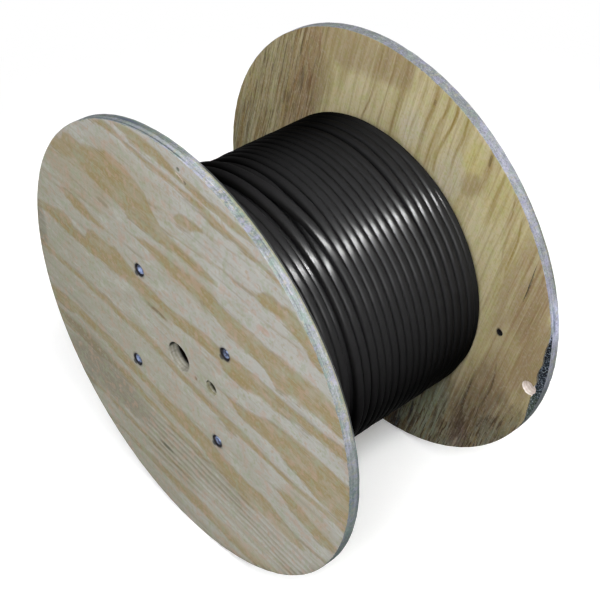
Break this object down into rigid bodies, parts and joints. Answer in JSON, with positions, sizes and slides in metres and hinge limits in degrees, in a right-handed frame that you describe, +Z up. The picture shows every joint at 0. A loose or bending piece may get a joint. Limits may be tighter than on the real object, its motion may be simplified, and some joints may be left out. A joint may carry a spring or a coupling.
{
  "type": "wooden cable drum",
  "caption": "Plywood cable drum lying on the rims of its round flanges, wound with black sheathed cable and held together by through bolts in recesses.",
  "frame": {"origin": "on the floor, below the middle of the drum", "axes": "+X along the drum's axis from the near flange to the far flange, +Z up"},
  "size_m": [0.43, 0.7616, 0.7616],
  "materials": {
    "near_plywood": "raw pine plywood, weathered grey on the outer face",
    "far_plywood": "raw pine plywood, yellower inner face",
    "fibreboard": "matt brown fibreboard tube",
    "cable_sheath": "glossy black sheath",
    "zinc_steel": "dull zinc plate"
  },
  "bodies": {
    "root": {"near_flange": "near_plywood", "far_flange": "far_plywood", "barrel": "fibreboard", "cable_winding": "cable_sheath", "tie_bolt_1": "zinc_steel", "head_washer_1": "zinc_steel", "nut_washer_1": "zinc_steel", "tie_nut_1": "zinc_steel", "tie_bolt_2": "zinc_steel", "head_washer_2": "zinc_steel", "nut_washer_2": "zinc_steel", "tie_nut_2": "zinc_steel", "tie_bolt_3": "zinc_steel", "head_washer_3": "zinc_steel", "nut_washer_3": "zinc_steel", "tie_nut_3": "zinc_steel", "tie_bolt_4": "zinc_steel", "head_washer_4": "zinc_steel", "nut_washer_4": "zinc_steel", "tie_nut_4": "zinc_steel"}
  },
  "joints": []
}
